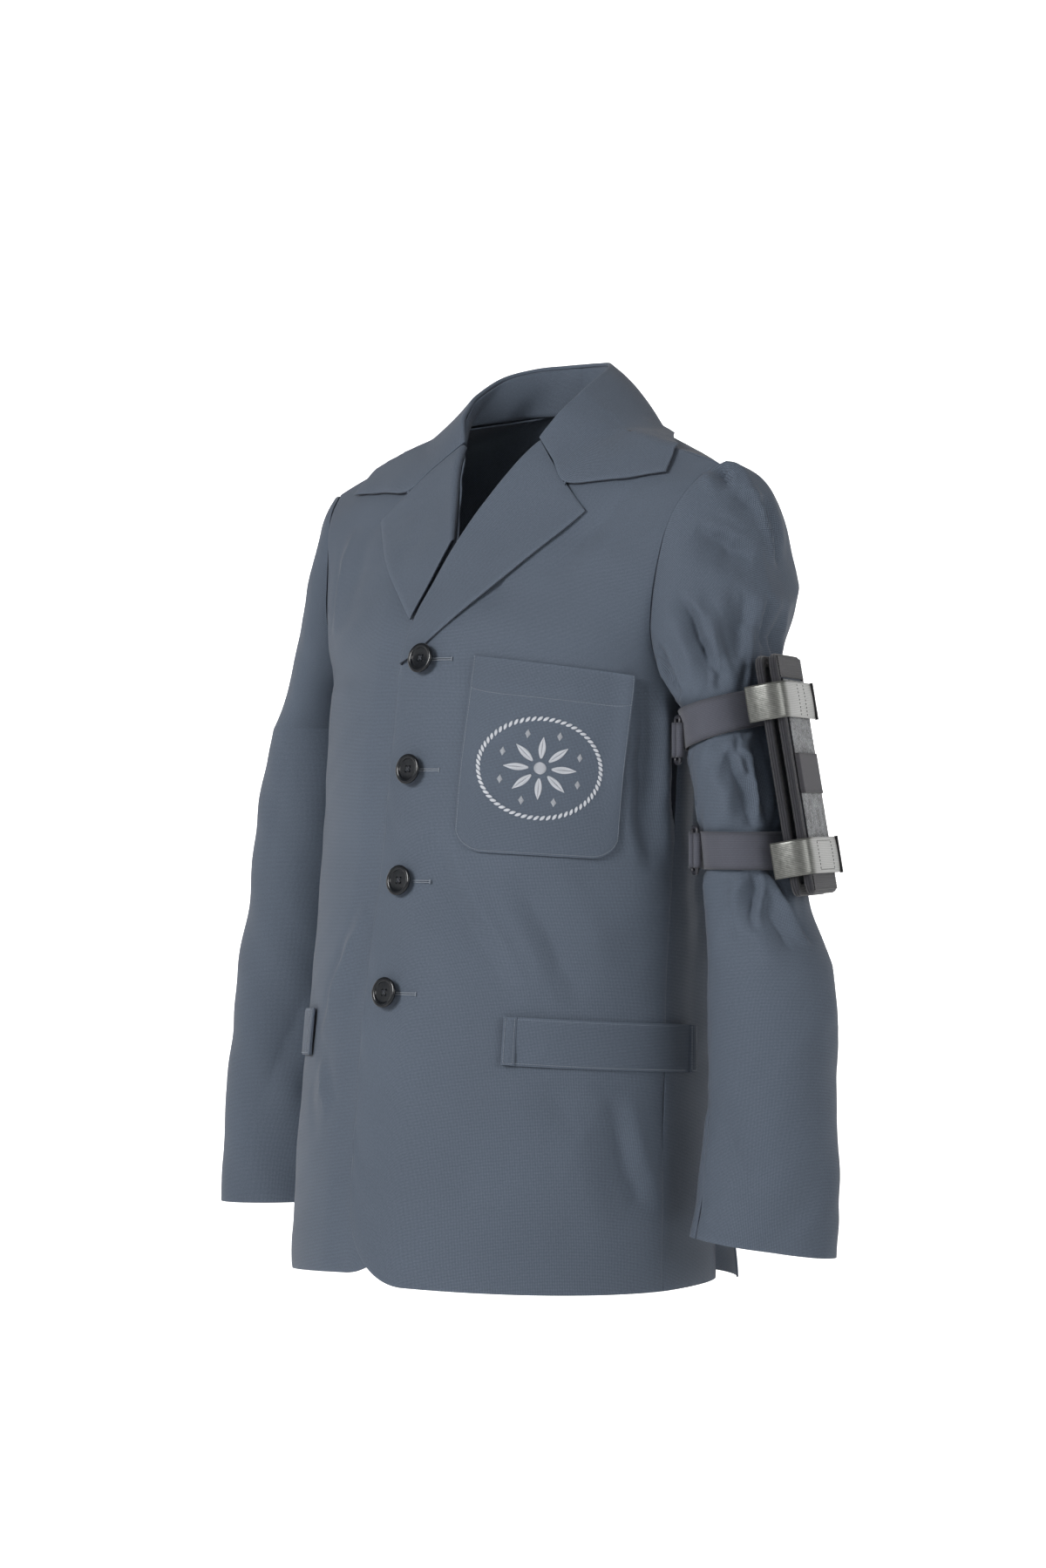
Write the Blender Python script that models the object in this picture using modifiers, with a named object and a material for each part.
"""A tailored jacket as it hangs on a wearer, with a pouch strapped round its left sleeve.

The wearer faces -Y, the wearer's left is +X and +Z is up. The origin is on the body's
axis, level with the points where the shoulder seams meet the neck. Every cloth piece is
a thin wall whose outer face is a grid of points, given its thickness by Solidify.
"""

import math

import bmesh
import bpy
import numpy as np
from mathutils import Vector
from mathutils.bvhtree import BVHTree

# Driving dimensions, in metres.
HEM_Z = -0.679
UNDERARM_Z = -0.214
BICEP_Z = -0.240
CUFF_Z = -0.634
WALL = 0.0012
SEAM_GAP = 0.0006
SHOULDER_GAP = 0.0026
ARMHOLE_GAP = 0.0010
LAY = 0.0016
FRONT_EXTENSION = 0.026
SIDE_SEAM_ANGLE = math.radians(5)
CORNER_ROUND = 0.055
FRONT_TUCK = 0.0026
LEFT_HEM_RISE = 0.0045
RIGHT_HEM_RISE = 0.013
VENT_HEIGHT = 0.140
VENT_KICK = 0.018
VENT_PLACE = 0.40
BACK_FULLNESS = 0.20
BUTTON_RADIUS = 0.012
BUTTON_HEIGHTS = (-0.188, -0.275, -0.362, -0.449)
BUTTON_LIFT = 0.0036
WEBBING_WIDTH = 0.029
WEBBING_WALL = 0.0013
WEBBING_LIFT = 0.0018
POUCH_WIDTH = 0.092
POUCH_HEIGHT = 0.184
POUCH_TURN = math.radians(22)
POUCH_TILT = math.radians(9.5)
POUCH_CENTRE = (0.2555, 0.0085, -0.2810)
LEAF_WALL = 0.0044
FRONT_LEAF_NEAR = 0.0114
LEAF_FACE = FRONT_LEAF_NEAR + LEAF_WALL
LEAF_SPREAD = 0.04
TAB_WIDTH = 0.028
TAB_ROUTE = (
    (0.0460, -0.0080),
    (0.0500, 0.0020),
    (0.0510, 0.0140),
    (0.0460, 0.0225),
    (0.0340, 0.0240),
    (-0.0200, 0.0218),
    (-0.0500, 0.0206),
)
TAB_TIP = ((-0.0505, 0.0212), (-0.0540, 0.0212))
BAR_WIRE = 0.0016
BAR_WIDTH = 0.010
BAR_ANGLE = 148
STRAP_LEVELS = (("upper", -0.246, -0.226, -0.252), ("lower", -0.337, -0.337, -0.337))
LEAF_CORNER = 0.010
BACK_LEAF_NEAR = 0.0042
PATCH_CORNER = 0.002
PATCH_GAP = 0.0003
LOOP_PANEL_SIZE = (0.073, 0.146)
LOOP_PANEL_PLACE = (-0.0055, 0.0)
LOOP_PANEL_WALL = 0.0013
END_PATCH_SIZE = (0.083, 0.016)
END_PATCH_PLACES = (("top", -0.0015, 0.0825), ("bottom", -0.0015, -0.0825))
END_PATCH_WALL = 0.0011
ELASTIC_SIZE = (0.076, 0.031)
ELASTIC_PLACE = (-0.004, 0.000)
ELASTIC_LIFT = 0.0019
TAB_HEIGHTS = (("upper", 0.057), ("lower", -0.064))
TAB_WALL = 0.0010
TAB_TIP_WALL = 0.0022
BAR_LIFT = 0.0030

# The trunk's level sections: half a front ellipse and half a back ellipse on one width.
# Columns: z, half_width, centre_y, front_depth, back_depth.
BODY_RINGS = (
    (-0.679, 0.1770, -0.028, 0.157, 0.150),
    (-0.560, 0.1740, -0.023, 0.154, 0.144),
    (-0.449, 0.1700, -0.016, 0.147, 0.136),
    (-0.362, 0.1710, -0.010, 0.136, 0.130),
    (-0.275, 0.1720, -0.005, 0.130, 0.127),
    (-0.214, 0.1757, 0.000, 0.124, 0.124),
)

# Above the underarm each row of a front or back panel is one Bezier arc: its point on
# the armhole, the arm that leaves it, its point on the front or neck edge, and its arm.
# Columns: outer, outer_arm, inner, inner_arm.
FRONT_YOKE = (
    ((0.1700, -0.032, -0.201), (-0.012, -0.040, 0.000), (-0.0260, -0.1210, -0.196), (0.098, -0.0104, 0.000)),
    ((0.1680, -0.046, -0.174), (-0.026, -0.046, 0.002), (-0.0190, -0.1120, -0.160), (0.078, -0.0060, -0.002)),
    ((0.1705, -0.049, -0.145), (-0.036, -0.034, 0.004), (-0.0095, -0.0975, -0.128), (0.074, -0.0020, -0.004)),
    ((0.1735, -0.045, -0.116), (-0.042, -0.024, 0.006), (0.0000, -0.0850, -0.100), (0.066, 0.0010, -0.006)),
    ((0.1785, -0.038, -0.088), (-0.046, -0.012, 0.010), (0.0130, -0.0660, -0.066), (0.058, 0.0060, -0.010)),
    ((0.1880, -0.024, -0.063), (-0.046, -0.006, 0.014), (0.0320, -0.0380, -0.026), (0.050, 0.0010, -0.014)),
    ((0.2000, 0.000, -0.044), (-0.045, 0.001, 0.020), (0.0610, 0.0030, 0.005), (0.045, 0.0000, -0.010)),
)
BACK_YOKE = (
    ((0.1750, 0.036, -0.204), (-0.014, 0.048, 0.000), (0.0000, 0.1235, -0.175), (0.082, 0.000, 0.000)),
    ((0.1770, 0.062, -0.180), (-0.028, 0.038, 0.000), (0.0000, 0.1215, -0.130), (0.080, 0.000, 0.000)),
    ((0.1800, 0.072, -0.150), (-0.038, 0.030, 0.004), (0.0000, 0.1170, -0.085), (0.075, 0.000, 0.000)),
    ((0.1830, 0.070, -0.120), (-0.044, 0.024, 0.008), (0.0000, 0.1060, -0.040), (0.070, 0.000, 0.000)),
    ((0.1880, 0.058, -0.090), (-0.045, 0.018, 0.012), (0.0000, 0.0800, 0.016), (0.050, 0.004, -0.004)),
    ((0.1950, 0.034, -0.057), (-0.045, 0.010, 0.030), (0.0400, 0.0600, 0.015), (0.045, 0.002, -0.004)),
    ((0.2000, 0.000, -0.044), (-0.045, 0.001, 0.020), (0.0610, 0.0030, 0.005), (0.045, 0.000, -0.010)),
)

# The sleeve head: for each row of the armhole, from the underarm round the front to the
# shoulder tip and down the back, the angle on the bicep section and the two Bezier arms.
# Columns: angle, armhole_arm, bicep_arm.
SLEEVE_HEAD = (
    (180, (0.002, 0.000, -0.008), (0.000, 0.000, 0.008)),
    (155, (0.010, -0.006, -0.008), (-0.002, 0.000, 0.014)),
    (130, (0.018, -0.010, -0.006), (-0.006, -0.002, 0.024)),
    (105, (0.024, -0.010, -0.004), (-0.008, -0.002, 0.034)),
    (80, (0.026, -0.008, -0.002), (-0.008, 0.004, 0.046)),
    (55, (0.030, -0.002, 0.000), (-0.008, 0.010, 0.060)),
    (28, (0.034, 0.006, -0.002), (-0.006, 0.010, 0.060)),
    (0, (0.042, 0.014, -0.002), (-0.009, 0.004, 0.046)),
    (-28, (0.042, 0.024, -0.002), (-0.004, 0.006, 0.042)),
    (-55, (0.046, 0.040, -0.010), (-0.002, 0.000, 0.040)),
    (-80, (0.036, 0.030, -0.010), (0.000, 0.006, 0.036)),
    (-105, (0.022, 0.020, -0.006), (0.000, 0.008, 0.028)),
    (-130, (0.012, 0.010, -0.006), (-0.002, 0.010, 0.026)),
    (-155, (0.006, 0.006, -0.008), (-0.002, 0.002, 0.014)),
    (-180, (0.002, 0.000, -0.008), (0.000, 0.000, 0.008)),
)
HEAD_ROWS = len(SLEEVE_HEAD) - 1
FRONT_SLEEVE_SEAM = 1
BACK_SLEEVE_SEAM = 12
SLEEVE_TRIM = 0.036
HEAD_TRIM = 0.030
RIGHT_HEAD_FULLNESS = 0.85
RIGHT_HEAD_LEAN = 0.36
LEFT_SHOULDER_RISE = 0.0085
LEFT_SHOULDER_WIDTHS = (0.110, 0.215)
LEFT_SHOULDER_HEIGHTS = (-0.170, -0.045)
LEFT_CROWN_ROW = 8.0
LEFT_CROWN_SPREAD = 1.8
LEFT_HEAD_RISE = 0.024
LEFT_HEAD_REACH = 0.008
LEFT_HEAD_LIFT = 0.002

# Level sections of the sleeves: an ellipse turned about Z, drawn in by the two straps
# and flattened by the pouch on the left arm.
# Columns: z, centre_x, centre_y, outward, forward, turn.
LEFT_SLEEVE = (
    (-0.240, 0.2105, 0.000, 0.0330, 0.0470, 15),
    (-0.280, 0.2200, -0.003, 0.0330, 0.0480, 18),
    (-0.337, 0.2300, -0.002, 0.0330, 0.0460, 18),
    (-0.385, 0.2380, 0.000, 0.0390, 0.0470, 19),
    (-0.437, 0.2490, 0.001, 0.0495, 0.0480, 22),
    (-0.520, 0.2530, -0.004, 0.0500, 0.0460, 26),
    (-0.600, 0.2510, -0.006, 0.0550, 0.0410, 32),
    (-0.634, 0.2480, -0.008, 0.0570, 0.0390, 35),
)
RIGHT_SLEEVE = (
    (-0.240, 0.2145, 0.004, 0.0370, 0.0540, 8),
    (-0.280, 0.2240, 0.003, 0.0440, 0.0520, 6),
    (-0.337, 0.2350, 0.004, 0.0470, 0.0500, 0),
    (-0.385, 0.2420, 0.003, 0.0480, 0.0490, -10),
    (-0.437, 0.2500, 0.001, 0.0490, 0.0480, -20),
    (-0.520, 0.2560, -0.004, 0.0500, 0.0450, -30),
    (-0.600, 0.2545, -0.006, 0.0550, 0.0410, -38),
    (-0.634, 0.2525, -0.008, 0.0570, 0.0390, -40),
)
LEFT_CUFF_DROP = 0.016
RIGHT_CUFF_DROP = 0.003
SLEEVE_LEVELS = (-0.280, -0.337, -0.385, -0.437, -0.480, -0.520, -0.560, -0.600, -0.634)

# The collar, from the gorge to the centre back: the fold, the fall's outer edge, and how
# far the fall stands out of the straight line between them.
# Columns: fold, edge, swell.
COLLAR_ROWS = (
    ((0.0520, -0.0160, 0.0100), (0.1570, -0.0010, -0.0330), -0.003),
    ((0.0565, -0.0030, 0.0220), (0.1470, 0.0110, -0.0230), -0.002),
    ((0.0590, 0.0100, 0.0320), (0.1360, 0.0230, -0.0150), -0.003),
    ((0.0560, 0.0400, 0.0480), (0.1100, 0.0540, -0.0080), 0.003),
    ((0.0400, 0.0640, 0.0560), (0.0780, 0.0850, -0.0060), 0.006),
    ((0.0200, 0.0760, 0.0580), (0.0400, 0.1050, -0.0010), 0.006),
    ((0.0000, 0.0800, 0.0585), (0.0000, 0.1110, 0.0010), 0.006),
)
GORGE = (0.0400, -0.0280, -0.0100)
NOTCH = (0.0820, -0.0440, -0.0500)
COLLAR_TIP = (0.1630, -0.0210, -0.0480)
LAPEL_TIP = (0.1070, -0.0500, -0.0730)
LAPEL_BELLY = (0.0600, -0.1300)
LAPEL_SWELL = 0.0016
COLLAR_LIFT = 0.0056
GORGE_STEP = (0.0016, 0.0, 0.0018)

# Where the lapels' folds and edges start, 0 at the break and 1 at the gorge.
LEFT_LAPEL_STARTS = (0.02, 0.06)
RIGHT_LAPEL_STARTS = (0.59, 0.275)

# Patch pockets on the ring angle (0 at the side, 90 at the centre front) and height.
CHEST_POCKET_SIDE = 26.5
CHEST_POCKET_FRONT = 74.5
CHEST_POCKET_TOP = (-0.202, -0.186)
CHEST_POCKET_BOTTOM = (-0.345, -0.338)
LOW_POCKET_SIDE = -9.0
LOW_POCKET_FRONT = 55.0
LOW_POCKET_TOP = (-0.4745, -0.4650)
LOW_POCKET_BOTTOM = (-0.5120, -0.5020)
END_STRIP = 3.6
END_STRIP_LIFT = 0.0008
END_STRIP_WALL = 0.0010
CHEST_POCKET_CORNER = 0.022
CHEST_POCKET_WIDTH = 0.128

# Sampling of the cloth.
TRUNK_STEPS = 10
FRONT_STEPS = 11
BACK_STEPS = 8
YOKE_ROWS = (2, 3, 4, 5, 6, 7, 7.35, 7.7, 8)
BACK_YOKE_ROWS = (2, 2.85, 3, 4, 5, 6, 7, 7.5, 8)
SIDE_YOKE_ROWS = (2, 2.85)
SIDE_STEPS = 4


# Numbers and curves.
def smooth(knots, rows, x):
    """Smooth curve through table rows at the knots, read at x; rows may be points."""
    knots = np.asarray(knots, float)
    rows = np.asarray(rows, float)
    x = float(np.clip(x, knots[0], knots[-1]))
    i = int(np.clip(np.searchsorted(knots, x) - 1, 0, len(knots) - 2))

    def slope(k):
        low = max(k - 1, 0)
        high = min(k + 1, len(knots) - 1)
        return (rows[high] - rows[low]) / (knots[high] - knots[low])

    step = knots[i + 1] - knots[i]
    t = (x - knots[i]) / step
    return (
        (2 * t**3 - 3 * t**2 + 1) * rows[i]
        + (t**3 - 2 * t**2 + t) * step * slope(i)
        + (3 * t**2 - 2 * t**3) * rows[i + 1]
        + (t**3 - t**2) * step * slope(i + 1)
    )


def bezier(points, t):
    a, b, c, d = points
    return (1 - t) ** 3 * a + 3 * (1 - t) ** 2 * t * b + 3 * (1 - t) * t**2 * c + t**3 * d


def ramp(x, low, high):
    """0 below low, 1 above high, smooth between."""
    t = min(max((x - low) / (high - low), 0.0), 1.0)
    return t * t * (3 - 2 * t)


def mirrored(grid):
    return np.asarray(grid) * np.array((-1.0, 1.0, 1.0))


def raised(grid):
    """The grid with the wearer's left shoulder, which sits a little higher, lifted."""
    grid = np.array(grid, float)
    for point in grid.reshape(-1, 3):
        share = ramp(point[0], *LEFT_SHOULDER_WIDTHS) * ramp(point[2], *LEFT_SHOULDER_HEIGHTS)
        point[2] += LEFT_SHOULDER_RISE * share
    return grid


# The trunk.
def body_ring(z):
    table = np.array(sorted(BODY_RINGS))
    return smooth(table[:, 0], table[:, 1:], z)


def ring_point(angle, z):
    """A point of the trunk's outer face, 0 at the side and 90 degrees at the front."""
    half_width, centre_y, front_depth, back_depth = body_ring(z)
    depth = front_depth if angle > 0 else back_depth
    return np.array((half_width * math.cos(angle), centre_y - depth * math.sin(angle), z))


def ring_arc(z, start, end):
    """The four Bezier points of the trunk's ellipse between two angles at height z."""
    half_width, centre_y, front_depth, back_depth = body_ring(z)
    depth = front_depth if end > start else back_depth
    reach = 4 / 3 * math.tan((end - start) / 4)

    def point(angle):
        return np.array((half_width * math.cos(angle), centre_y - depth * math.sin(angle), z))

    def tangent(angle):
        return np.array((-half_width * math.sin(angle), -depth * math.cos(angle), 0.0))

    return np.array(
        (
            point(start),
            point(start) + reach * tangent(start),
            point(end) - reach * tangent(end),
            point(end),
        )
    )


def side_point(z):
    return ring_point(SIDE_SEAM_ANGLE, z)


def front_arc(z):
    half_width = body_ring(z)[0]
    return ring_arc(z, SIDE_SEAM_ANGLE, math.pi / 2 + math.asin(FRONT_EXTENSION / half_width))


def back_arc(z):
    """From the side seam, which lies a little forward, round to the centre back, and
    squarer than an ellipse below the underarm."""
    half_width, centre_y, _, back_depth = body_ring(z)
    arc = ring_arc(z, 0.0, -math.pi / 2)
    start = side_point(z)
    full = 1 + BACK_FULLNESS * ramp(-z, 0.250, 0.360)
    near = (arc[1] - arc[0]) * (1 + math.sin(SIDE_SEAM_ANGLE)) * full
    return np.array((start, start + near, arc[3] + (arc[2] - arc[3]) * full, arc[3]))


def yoke_rows(arc, yoke):
    rows = [arc(UNDERARM_Z - 0.06), arc(UNDERARM_Z)]
    for outer, outer_arm, inner, inner_arm in yoke:
        outer, inner = np.array(outer), np.array(inner)
        rows.append(np.array((outer, outer + outer_arm, inner + inner_arm, inner)))
    return np.array(rows)


def panel(arc, yoke):
    """The panel's surface: s runs from the side to the front or centre back edge, and
    row from 0 at the hem to 1 at the underarm, then one for each row of the yoke."""
    rows = yoke_rows(arc, yoke)
    steps = np.linalg.norm(np.diff(rows, axis=0), axis=2).mean(axis=1)
    knots = np.concatenate(((0.0,), np.cumsum(steps)))

    def surface(s, row):
        if row <= 1:
            return bezier(arc(HEM_Z + (UNDERARM_Z - HEM_Z) * row), s)
        k = min(int(row), len(rows) - 2)
        knot = knots[k] + (row - k) * (knots[k + 1] - knots[k])
        return bezier(smooth(knots, rows, knot), s)

    return surface


front_surface = panel(front_arc, FRONT_YOKE)
back_surface = panel(back_arc, BACK_YOKE)


def outward(surface, s, row):
    """Unit normal of a panel, pointing away from the body."""
    small = 0.01
    along = surface(min(s + small, 1), row) - surface(max(s - small, 0), row)
    up = surface(s, min(row + small, 8)) - surface(s, max(row - small, 0))
    normal = np.cross(along, up)
    normal /= np.linalg.norm(normal)
    away = surface(s, row) - np.array((0.0, 0.0, -0.3))
    return normal if normal @ away > 0 else -normal


def front_place(x, z):
    """The s and row of the front's point at this width and height."""
    s = min(max(1 - x / 0.2, 0.05), 0.95)
    row = 1 + (z - UNDERARM_Z) / (UNDERARM_Z - HEM_Z) if z < UNDERARM_Z else 1 + (z - UNDERARM_Z) / 0.024
    small = 1e-4
    for _ in range(30):
        here = front_surface(s, row)
        by_s = (front_surface(s + small, row) - here)[[0, 2]] / small
        by_row = (front_surface(s, row + small) - here)[[0, 2]] / small
        miss = np.array((x, z)) - here[[0, 2]]
        slopes = np.array((by_s, by_row)).T
        ds, dr = np.linalg.solve(slopes.T @ slopes + 1e-9 * np.eye(2), slopes.T @ miss)
        s = min(max(s + max(min(ds, 0.2), -0.2), -0.02), 1.02)
        row = min(max(row + max(min(dr, 1.0), -1.0), 0), 7.98)
    return s, row


def on_front(x, z, lift):
    s, row = front_place(x, z)
    return front_surface(s, row) + outward(front_surface, s, row) * lift


def hem_row(distance, front_rise):
    """Row of the hem at a distance from the front edge, where the corner is rounded and
    the hem hangs a little higher than at the side."""
    inside = max(CORNER_ROUND - distance, 0.0)
    rise = CORNER_ROUND - math.sqrt(max(CORNER_ROUND**2 - inside**2, 0.0))
    rise += front_rise * (1 - ramp(distance, 0.0, 0.28))
    return rise / (UNDERARM_Z - HEM_Z)


def rows_from(first, yoke):
    return [first + (1 - first) * i / TRUNK_STEPS for i in range(TRUNK_STEPS + 1)] + list(yoke)


def front_columns():
    """Closer together near the front edge, where the hem's corner is round."""
    flat = [0.82 * i / (FRONT_STEPS - 4) for i in range(FRONT_STEPS - 3)]
    return flat + [0.88, 0.935, 0.975, 1.0]


def shoulder_row(row):
    """The last row stops short of the shoulder seam by half its gap."""
    return min(row, 8 - SHOULDER_GAP / 2 / 0.040)


def front_grid(tuck, front_rise):
    """The left front's outer face; tuck moves the edge in, under the other front."""
    trim = SEAM_GAP / 2 / 0.27
    grid = []
    for s in front_columns():
        s = min(max(s, trim), 1.0)
        edge_gap = 0.285 * (1 - s)
        column = []
        for row in rows_from(hem_row(edge_gap, front_rise), YOKE_ROWS):
            row = shoulder_row(row)
            place = front_surface(s, row)
            if tuck:
                hidden = ramp(-place[0], -0.060, -0.032) * (1 - ramp(row, 5.5, 7))
                place = place - outward(front_surface, s, row) * tuck * hidden
            column.append(place)
        grid.append(column)
    return np.array(grid)


def side_back_seam(row):
    """Where the side panel meets the back: level up to the underarm, then it runs out
    into the armhole."""
    return VENT_PLACE * (1 - ramp(row, 0.9, 3.1)) if row < 3 else 0.0


def side_grid():
    """The panel under the arm, between the front and the side vent's seam."""
    trim = SEAM_GAP / 2 / 0.24
    grid = []
    for i in range(SIDE_STEPS + 1):
        column = []
        for row in rows_from(0.0, SIDE_YOKE_ROWS):
            seam = side_back_seam(row) - trim
            column.append(back_surface(trim + (seam - trim) * i / SIDE_STEPS, row))
        grid.append(column)
    return np.array(grid)


def back_grid():
    """Half the back, from the vent's seam to the centre; it kicks out below the vent."""
    trim = SEAM_GAP / 2 / 0.24
    grid = []
    for i in range(BACK_STEPS + 1):
        column = []
        for row in rows_from(0.0, BACK_YOKE_ROWS):
            seam = side_back_seam(row) + trim
            s = seam + (1 - trim - seam) * i / BACK_STEPS
            row = shoulder_row(row)
            place = back_surface(s, row)
            height = place[2] - HEM_Z
            kick = (1 - ramp(height, 0.0, VENT_HEIGHT)) * (1 - ramp(s, VENT_PLACE, 0.9))
            column.append(place + outward(back_surface, s, row) * kick * VENT_KICK)
        grid.append(column)
    return np.array(grid)


# The sleeves.
def sleeve_angle(place):
    knots = range(HEAD_ROWS + 1)
    return float(smooth(knots, [[row[0]] for row in SLEEVE_HEAD], place)[0])


def sleeve_section(table, z, angle):
    """A point of the sleeve's level section, 0 degrees outside and 90 at the front."""
    rows = np.array(sorted(table))
    x, y, out, forward, turn = smooth(rows[:, 0], rows[:, 1:], z)
    turn = math.radians(turn)
    angle = math.radians(angle)
    a = out * math.cos(angle)
    b = forward * math.sin(angle)
    return np.array(
        (
            x + a * math.cos(turn) + b * math.sin(turn),
            y + a * math.sin(turn) - b * math.cos(turn),
            z,
        )
    )


def armhole_point(place):
    """Place 0 is the underarm, 7 the shoulder tip and 14 the underarm again."""
    if place <= 7:
        return front_surface(0.0, 1 + place)
    return back_surface(0.0, 15 - place)


def sleeve_point(table, place, along):
    """Along is 0 at the armhole, 1 at the bicep and 2 at the cuff."""
    angle = sleeve_angle(place)
    if along >= 1:
        z = BICEP_Z + (CUFF_Z - BICEP_Z) * (along - 1)
        here = sleeve_section(table, z, angle)
        drop = LEFT_CUFF_DROP if table is LEFT_SLEEVE else RIGHT_CUFF_DROP
        here[2] -= drop * (1 + math.cos(math.radians(angle))) / 2 * ramp(along, 1.5, 2.0)
        return here
    arms = smooth(range(HEAD_ROWS + 1), [row[1] + row[2] for row in SLEEVE_HEAD], place)
    if table is RIGHT_SLEEVE:
        arms[0] *= RIGHT_HEAD_FULLNESS
        arms[3] -= RIGHT_HEAD_LEAN * arms[5]
    else:
        crown = math.exp(-(((place - LEFT_CROWN_ROW) / LEFT_CROWN_SPREAD) ** 2))
        arms += crown * np.array((LEFT_HEAD_REACH, 0.0, LEFT_HEAD_RISE, 0.0, 0.0, LEFT_HEAD_LIFT))
    start = armhole_point(place)
    end = sleeve_section(table, BICEP_Z, angle)
    return bezier((start, start + arms[:3], end + arms[3:], end), along)


def sleeve_grid(table, places):
    """The run of columns between two seams; each end stops short of its seam."""
    head = (0.0, 0.2, 0.4, 0.6, 0.8, 1.0)
    arm = tuple(1 + (z - BICEP_Z) / (CUFF_Z - BICEP_Z) for z in SLEEVE_LEVELS)
    grid = []
    for number, place in enumerate(places):
        end = (number == 0) - (number == len(places) - 1)
        column = []
        for along in head + arm:
            short = place + end * (SLEEVE_TRIM + HEAD_TRIM * max(1 - along, 0.0))
            here = sleeve_point(table, short, along)
            if along == 0.0:
                step = sleeve_point(table, short, 0.05) - here
                here = here + step / np.linalg.norm(step) * ARMHOLE_GAP
            column.append(here)
        grid.append(column)
    return np.array(grid)


def head_places():
    front = [row - 1 for row in YOKE_ROWS]
    back = [15 - row for row in reversed(BACK_YOKE_ROWS)][1:]
    back.remove(15 - 2.85)
    return [0] + front + back + [14]


# Making objects.
def material(name, colour, roughness, metallic=0.0):
    found = bpy.data.materials.get(name)
    if found:
        return found
    made = bpy.data.materials.new(name)
    made.use_nodes = True
    shader = made.node_tree.nodes["Principled BSDF"]
    shader.inputs["Base Color"].default_value = (*colour, 1.0)
    shader.inputs["Roughness"].default_value = roughness
    shader.inputs["Metallic"].default_value = metallic
    return made


CLOTH = ("cloth", (0.095, 0.115, 0.145), 0.85)
TRIM = ("webbing", (0.060, 0.060, 0.075), 0.80)
FLEECE = ("loop_pile", (0.090, 0.095, 0.100), 0.95)
SATIN = ("satin_tape", (0.250, 0.255, 0.240), 0.45)
BUTTON = ("button_resin", (0.008, 0.011, 0.018), 0.15)


def add_object(name, mesh, look):
    obj = bpy.data.objects.new(name, mesh)
    parts.objects.link(obj)
    mesh.materials.append(material(*look))
    return obj


def shell(name, grid, look, inside=(0.0, 0.0, -0.3), wall=WALL, wrap=False):
    """A wall whose outer face is the grid; inside is a point that the face turns from."""
    grid = raised(grid)
    columns, rows = grid.shape[:2]
    work = bmesh.new()
    corners = [[work.verts.new(point) for point in column] for column in grid]
    for i in range(columns if wrap else columns - 1):
        near, far = corners[i], corners[(i + 1) % columns]
        for j in range(rows - 1):
            work.faces.new((near[j], far[j], far[j + 1], near[j + 1]))
    work.normal_update()
    facing = sum(
        face.calc_area() * face.normal.dot(face.calc_center_median() - Vector(inside))
        for face in work.faces
    )
    if facing < 0:
        bmesh.ops.reverse_faces(work, faces=work.faces)
    bmesh.ops.triangulate(work, faces=work.faces)
    mesh = bpy.data.meshes.new(name)
    work.to_mesh(mesh)
    work.free()
    mesh.shade_smooth()
    obj = add_object(name, mesh, look)
    thicken = obj.modifiers.new("wall", "SOLIDIFY")
    thicken.thickness = wall
    thicken.offset = -1.0
    return obj


def body_tree(grids):
    """The closest-point tree of the trunk's outer faces."""
    points, faces = [], []
    for grid in grids:
        columns, rows = grid.shape[:2]
        base = len(points)
        points += [Vector(point) for column in grid for point in column]
        for i in range(columns - 1):
            for j in range(rows - 1):
                a = base + i * rows + j
                faces += [(a, a + rows, a + rows + 1), (a, a + rows + 1, a + 1)]
    return BVHTree.FromPolygons(points, faces)


def clear_of(tree, point, gap):
    """The point, moved out of the trunk until it stands this far from it."""
    near, normal, _, distance = tree.find_nearest(Vector(point))
    if normal.dot(near - Vector((0.0, 0.0, -0.3))) < 0:
        normal = -normal
    signed = (Vector(point) - near).dot(normal)
    if distance >= gap and signed > 0:
        return np.array(point)
    return np.array(near + normal * gap)


# Lapels and collar.
def roll_point(t):
    """The roll line of the left front: 0 at the break, 1 at the gorge."""
    rows = [front_surface(1.0, 2 + 5 * k / 5) for k in range(6)] + [np.array(GORGE)]
    knots = [0, 1, 2, 3, 4, 5, 5.5]
    return smooth(knots, rows, t * 5.5)


def lapel_outer(t):
    """Outer edge at the same t: from the break to the tip at 0.9, then to the notch."""
    start = front_surface(1.0, 2.0)
    tip, notch = np.array(LAPEL_TIP), np.array(NOTCH)
    if t > 0.9:
        return tip + (notch - tip) * (t - 0.9) / 0.1
    belly = np.array((LAPEL_BELLY[0], 0.0, LAPEL_BELLY[1]))
    return bezier((start, start + (belly - start) * 0.66, tip + (belly - tip) * 0.66, tip), t / 0.9)


def lapel_grid(fold_start, edge_start, steps=9, across=5):
    """Points of the left lapel on the front, moved out, from where its fold and its edge
    start up to the gorge."""
    grid = []
    for i in range(steps + 1):
        u = i / steps
        inner = roll_point(fold_start + (0.985 - fold_start) * u)
        if i == steps:
            outer = lapel_outer(1.0)
        else:
            outer = lapel_outer(edge_start + (0.9 - edge_start) * i / (steps - 1))
        column = []
        for j in range(across + 1):
            w = j / across
            lift = LAY + WALL + LAPEL_SWELL * math.sin(math.pi * w) * min(1.0, 3 * u)
            flat = inner + (outer - inner) * w
            column.append(on_front(flat[0], flat[2], lift))
        grid.append(column)
    return np.array(grid)


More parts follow.
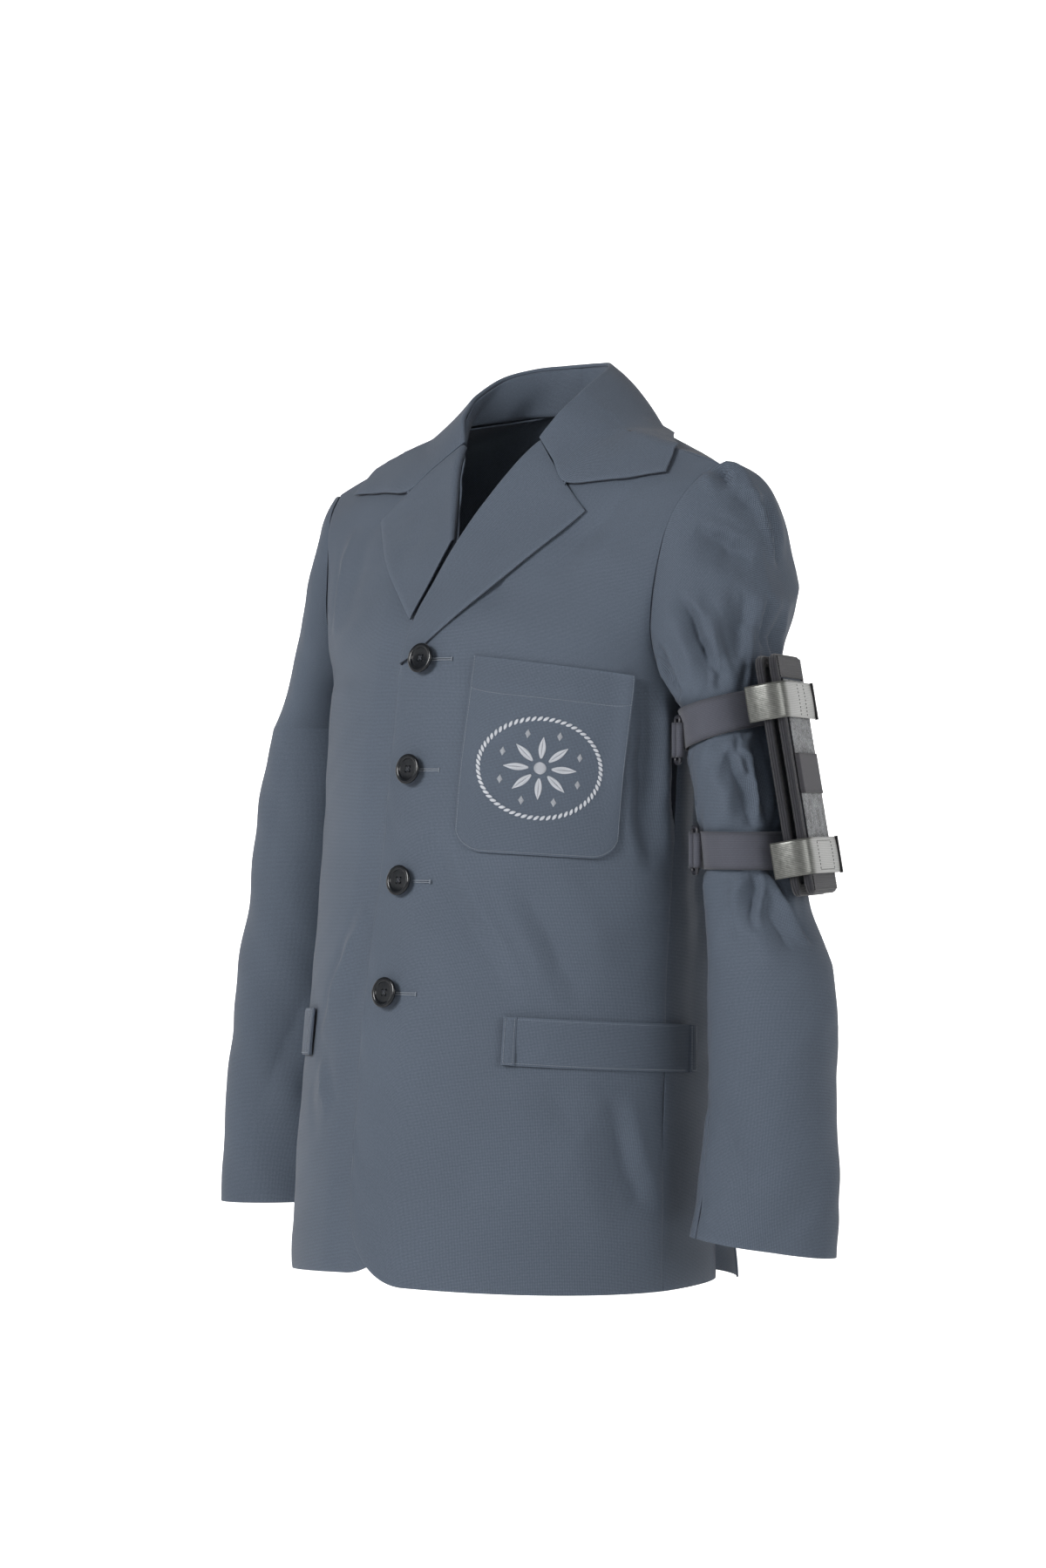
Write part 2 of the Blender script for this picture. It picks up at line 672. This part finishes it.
def collar_grids(tree):
    """The fall and the stand of the whole collar, from the right gorge to the left."""
    gorge, notch, tip = (np.array(p) for p in (GORGE, NOTCH, COLLAR_TIP))
    widths = (0.0, 0.2, 0.42, 0.7, 1.0)
    front = [gorge, (gorge + notch) / 2, notch, (notch + tip) / 2, tip]
    half = [[clear_of(tree, p + np.array(GORGE_STEP), COLLAR_LIFT) for p in front]]
    for fold, edge, swell in COLLAR_ROWS:
        fold, edge = np.array(fold), np.array(edge)
        out = np.cross(edge - fold, np.cross((0.0, 0.0, 1.0), edge - fold))
        out /= np.linalg.norm(out)
        column = []
        for w in widths:
            point = fold + (edge - fold) * w + out * swell * math.sin(math.pi * w) ** 0.8
            column.append(clear_of(tree, point, COLLAR_LIFT))
        half.append(column)
    half = np.array(half)
    fall = np.concatenate((mirrored(half), half[::-1][1:]))
    return fall


def stand_grid():
    """The stand rises from the neck seam to just inside the fold."""
    seam = [front_surface(1.0, row) for row in (7.4, 7.6, 7.8, 8.0)]
    seam += [back_surface(1.0, row) for row in (7.5, 7.0, 6.0)]
    folds = [row[0] for row in COLLAR_ROWS]
    half = []
    for low, fold in zip(seam, folds):
        low = np.array(low) + (0.0, 0.0, 0.0007)
        inward = np.array((-low[0], 0.02 - low[1], 0.0))
        inward /= np.linalg.norm(inward)
        high = np.array(fold) + inward * 0.0022 + np.array((0.0, 0.0, -0.0030))
        low = low + inward * 0.0004
        half.append([low + (high - low) * w for w in (0.0, 0.5, 1.0)])
    half = np.array(half)
    return np.concatenate((mirrored(half), half[::-1][1:]))


# Pockets and buttons.
def trunk_point(angle, z, lift):
    """A point on the trunk at a ring angle in degrees, moved out by lift."""
    angle = math.radians(angle)
    small = 0.01
    here = ring_point(angle, z)
    along = ring_point(angle + small, z) - ring_point(angle - small, z)
    up = ring_point(angle, z + small) - ring_point(angle, z - small)
    normal = np.cross(along, up)
    normal /= np.linalg.norm(normal)
    if normal @ (here - np.array((0.0, 0.0, z))) < 0:
        normal = -normal
    return here + normal * lift


def pocket_grid(side, front, top, bottom, lift, columns, rows, corner=0.0):
    """Patch between two ring angles; top and bottom are heights at its side and front."""
    grid = []
    for i in range(columns + 1):
        u = i / columns
        angle = side + (front - side) * u
        high = top[0] + (top[1] - top[0]) * u
        low = bottom[0] + (bottom[1] - bottom[0]) * u
        if corner:
            reach = min(u, 1 - u) * CHEST_POCKET_WIDTH
            inside = max(corner - reach, 0.0)
            low += corner - math.sqrt(corner**2 - inside**2)
        column = []
        for j in range(rows + 1):
            z = low + (high - low) * j / rows
            if z > UNDERARM_Z - 0.002:
                flat = ring_point(math.radians(angle), UNDERARM_Z)
                column.append(on_front(flat[0], z, lift + WALL))
            else:
                column.append(trunk_point(angle, z, lift + WALL))
        grid.append(column)
    return np.array(grid)


def turned(name, profile, look, steps):
    """A solid of revolution about Z from (radius, height) points, given down its outside."""
    mesh = bpy.data.meshes.new(name)
    points = [(radius, 0.0, height) for radius, height in profile]
    mesh.from_pydata(points, [(i, i + 1) for i in range(len(points) - 1)], [])
    obj = add_object(name, mesh, look)
    spin = obj.modifiers.new("turn", "SCREW")
    spin.steps = spin.render_steps = steps
    spin.use_merge_vertices = True
    spin.merge_threshold = 0.0001
    return obj


def add_button(name, z):
    """Four-hole button with a raised rim, lying on the left front at the centre."""
    r = BUTTON_RADIUS
    profile = (
        (0.0, 0.0022),
        (r * 0.55, 0.0022),
        (r * 0.68, 0.0032),
        (r * 0.88, 0.0036),
        (r, 0.0026),
        (r, 0.0014),
        (r * 0.80, 0.0002),
        (0.0, 0.0),
    )
    obj = turned(name, profile, BUTTON, 16)
    for i in range(4):
        around = math.pi / 4 + i * math.pi / 2
        hole = add_cutter(f"{name}_hole_{i}", 0.0009, 0.010)
        hole.location = (0.0026 * math.cos(around), 0.0026 * math.sin(around), 0.0)
        hole.parent = obj
        cut = obj.modifiers.new("hole", "BOOLEAN")
        cut.object = hole
        cut.operation = "DIFFERENCE"
    s, row = front_place(0.0, z)
    normal = Vector(outward(front_surface, s, row))
    obj.rotation_mode = "QUATERNION"
    obj.rotation_quaternion = normal.to_track_quat("Z", "Y")
    obj.location = Vector(front_surface(s, row)) + normal * BUTTON_LIFT
    return obj


def add_cutter(name, radius, length):
    work = bmesh.new()
    bmesh.ops.create_cone(
        work, cap_ends=True, segments=6, radius1=radius, radius2=radius, depth=length
    )
    mesh = bpy.data.meshes.new(name)
    work.to_mesh(mesh)
    work.free()
    obj = bpy.data.objects.new(name, mesh)
    cutters.objects.link(obj)
    obj.hide_render = True
    obj.display_type = "WIRE"
    return obj


# The pouch on the left sleeve.
POUCH_OUT = np.array(
    (
        math.cos(POUCH_TURN) * math.cos(POUCH_TILT),
        math.sin(POUCH_TURN) * math.cos(POUCH_TILT),
        math.sin(POUCH_TILT),
    )
)
POUCH_FORWARD = np.array((math.sin(POUCH_TURN), -math.cos(POUCH_TURN), 0.0))
POUCH_UP = np.cross(POUCH_OUT, POUCH_FORWARD)
POUCH_UP = POUCH_UP if POUCH_UP[2] > 0 else -POUCH_UP


def pouch_point(forward, up, out):
    return np.array(POUCH_CENTRE) + POUCH_FORWARD * forward + POUCH_UP * up + POUCH_OUT * out


def rounded_outline(width, height, corner, steps=3):
    """Corner points of a rectangle with round corners, in its own plane."""
    points = []
    for cx, cy, first in ((1, 1, 0), (-1, 1, 90), (-1, -1, 180), (1, -1, 270)):
        for k in range(steps + 1):
            angle = math.radians(first + 90 * k / steps)
            points.append(
                (
                    cx * (width / 2 - corner) + corner * math.cos(angle),
                    cy * (height / 2 - corner) + corner * math.sin(angle),
                )
            )
    return points


def slab(name, outline, near, far, look, slope=0.0):
    """A flat pad in the pouch's frame between two distances out, given an outline of
    (forward, up) points; slope opens it towards the front edge."""
    work = bmesh.new()
    levels = []
    for level in (near, far):
        ring = []
        for forward, up in outline:
            out = level + slope * (forward + POUCH_WIDTH / 2)
            ring.append(work.verts.new(pouch_point(forward, up, out)))
        levels.append(ring)
    work.faces.new(levels[0][::-1])
    work.faces.new(levels[1])
    count = len(outline)
    for i in range(count):
        j = (i + 1) % count
        work.faces.new((levels[0][i], levels[0][j], levels[1][j], levels[1][i]))
    bmesh.ops.recalc_face_normals(work, faces=work.faces)
    mesh = bpy.data.meshes.new(name)
    work.to_mesh(mesh)
    work.free()
    return add_object(name, mesh, look)


def strip(name, route, centre_up, width, wall, look):
    """A flat strap across the pouch: route gives (forward, out) points of its outer face."""
    grid = [
        [pouch_point(forward, centre_up + width * w, out) for w in (-0.5, 0.5)]
        for forward, out in route
    ]
    return shell(name, grid, look, inside=pouch_point(0.0, centre_up, -0.03), wall=wall)


def sleeve_level(place, z):
    """The left sleeve's point in this column at height z."""
    low, high = 0.0, 2.0
    for _ in range(30):
        middle = (low + high) / 2
        if sleeve_point(LEFT_SLEEVE, place, middle)[2] > z:
            low = middle
        else:
            high = middle
    return sleeve_point(LEFT_SLEEVE, place, low)


def webbing_band(name, z_front, z_outer):
    """A strap round the sleeve, lower at the front than outside."""
    grid = []
    for place in head_places()[:-1]:
        facing = math.cos(math.radians(sleeve_angle(place)))
        z = (z_front + z_outer) / 2 + (z_outer - z_front) / 2 * facing
        column = []
        for step in (-0.5, 0.0, 0.5):
            here = sleeve_level(place, z + step * WEBBING_WIDTH)
            centre = sleeve_section(LEFT_SLEEVE, z, 0) / 2 + sleeve_section(LEFT_SLEEVE, z, 180) / 2
            away = (here - centre) * (1.0, 1.0, 0.0)
            column.append(here + away / np.linalg.norm(away) * (WEBBING_LIFT + WEBBING_WALL))
        grid.append(column)
    inside = (0.22, 0.0, (z_front + z_outer) / 2)
    return shell(name, grid, TRIM, inside=inside, wall=WEBBING_WALL, wrap=True)


def add_bar_ring(name, z, angle):
    """A flat wire loop that the webbing doubles back through, lying on the webbing."""
    here = sleeve_section(LEFT_SLEEVE, z, angle)
    centre = (here + sleeve_section(LEFT_SLEEVE, z, angle + 180)) / 2
    away = (here - centre) / np.linalg.norm(here - centre)
    along = np.cross(away, (0.0, 0.0, 1.0))
    middle = here + away * (WEBBING_LIFT + WEBBING_WALL + BAR_LIFT + BAR_WIRE)
    outline = rounded_outline(BAR_WIDTH, WEBBING_WIDTH + 4 * BAR_WIRE, 2 * BAR_WIRE, 2)
    curve = bpy.data.curves.new(name, "CURVE")
    curve.dimensions = "3D"
    curve.bevel_depth = BAR_WIRE
    curve.bevel_resolution = 1
    wire = curve.splines.new("POLY")
    wire.points.add(len(outline) - 1)
    for point, (x, y) in zip(wire.points, outline):
        place = middle + along * x + np.array((0.0, 0.0, y))
        point.co = (*place, 1.0)
    wire.use_cyclic_u = True
    return add_object(name, curve, TRIM)


def patch(name, size, place, lift, wall, look):
    """A thin patch on the front leaf's face."""
    outline = rounded_outline(*size, PATCH_CORNER, 1)
    outline = [(x + place[0], y + place[1]) for x, y in outline]
    slab(name, outline, LEAF_FACE + lift, LEAF_FACE + lift + wall, look, slope=LEAF_SPREAD)


# The assembly.
for old in list(bpy.data.objects):
    bpy.data.objects.remove(old, do_unlink=True)
parts = bpy.data.collections.new("tailored_jacket")
cutters = bpy.data.collections.new("cutters")
bpy.context.scene.collection.children.link(parts)
bpy.context.scene.collection.children.link(cutters)

front_left = front_grid(0.0, LEFT_HEM_RISE)
front_right = mirrored(front_grid(FRONT_TUCK, RIGHT_HEM_RISE))
side_left = side_grid()
side_right = mirrored(side_left)
back_left = back_grid()
back_right = mirrored(back_left)
trunk = {
    "front_left": front_left,
    "front_right": front_right,
    "side_left": side_left,
    "side_right": side_right,
    "back_left": back_left,
    "back_right": back_right,
}
for name, grid in trunk.items():
    shell(name, grid, CLOTH)
tree = body_tree(trunk.values())

shell("lapel_left", lapel_grid(*LEFT_LAPEL_STARTS), CLOTH)
shell("lapel_right", mirrored(lapel_grid(*RIGHT_LAPEL_STARTS)), CLOTH)
shell("collar_fall", collar_grids(tree), CLOTH, inside=(0.0, 0.02, -0.05))
shell("collar_stand", stand_grid(), CLOTH, inside=(0.0, 0.02, 0.03))

places = head_places()
upper = [p for p in places if FRONT_SLEEVE_SEAM <= p <= BACK_SLEEVE_SEAM]
under = [p for p in places if p >= BACK_SLEEVE_SEAM]
under += [p for p in places if 0 < p <= FRONT_SLEEVE_SEAM]
for side, table in (("left", LEFT_SLEEVE), ("right", RIGHT_SLEEVE)):
    for piece, run in (("upper", upper), ("under", under)):
        grid = sleeve_grid(table, run)
        middle = np.array((0.225, 0.0, -0.38))
        if side == "right":
            grid, middle = mirrored(grid), mirrored(middle)
        shell(f"sleeve_{side}_{piece}", grid, CLOTH, inside=middle)

chest = pocket_grid(
    CHEST_POCKET_SIDE,
    CHEST_POCKET_FRONT,
    CHEST_POCKET_TOP,
    CHEST_POCKET_BOTTOM,
    LAY,
    8,
    6,
    CHEST_POCKET_CORNER,
)
shell("chest_pocket", chest, CLOTH)
for side in ("left", "right"):
    turn = mirrored if side == "right" else np.array
    low = pocket_grid(LOW_POCKET_SIDE, LOW_POCKET_FRONT, LOW_POCKET_TOP, LOW_POCKET_BOTTOM, LAY, 10, 2)
    shell(f"low_pocket_{side}", turn(low), CLOTH)
    for end, start in (("side", LOW_POCKET_SIDE), ("front", LOW_POCKET_FRONT - END_STRIP)):
        tops = LOW_POCKET_TOP if end == "side" else LOW_POCKET_TOP[::-1]
        lows = LOW_POCKET_BOTTOM if end == "side" else LOW_POCKET_BOTTOM[::-1]
        lift = LAY + WALL + END_STRIP_LIFT
        bar = pocket_grid(start, start + END_STRIP, (tops[0],) * 2, (lows[0],) * 2, lift, 1, 2)
        shell(f"low_pocket_{side}_end_{end}", turn(bar), CLOTH, wall=END_STRIP_WALL)

for number, z in enumerate(BUTTON_HEIGHTS, 1):
    add_button(f"button_{number}", z)

leaf = rounded_outline(POUCH_WIDTH, POUCH_HEIGHT, LEAF_CORNER)
slab("pouch_back_leaf", leaf, BACK_LEAF_NEAR, BACK_LEAF_NEAR + LEAF_WALL, TRIM)
slab("pouch_front_leaf", leaf, FRONT_LEAF_NEAR, LEAF_FACE, TRIM, slope=LEAF_SPREAD)
patch("pouch_loop_panel", LOOP_PANEL_SIZE, LOOP_PANEL_PLACE, PATCH_GAP, LOOP_PANEL_WALL, FLEECE)
for end, forward, up in END_PATCH_PLACES:
    patch(f"pouch_end_{end}", END_PATCH_SIZE, (forward, up), PATCH_GAP, END_PATCH_WALL, TRIM)
patch("pouch_elastic", ELASTIC_SIZE, ELASTIC_PLACE, ELASTIC_LIFT, END_PATCH_WALL, TRIM)
for name, up in TAB_HEIGHTS:
    strip(f"tab_{name}", TAB_ROUTE, up, TAB_WIDTH, TAB_WALL, SATIN)
    strip(f"tab_tip_{name}", TAB_TIP, up, TAB_WIDTH + TAB_WALL, TAB_TIP_WALL, TRIM)
for name, z_front, z_outer, z_bar in STRAP_LEVELS:
    webbing_band(f"webbing_{name}", z_front, z_outer)
    add_bar_ring(f"bar_ring_{name}", z_bar, BAR_ANGLE)
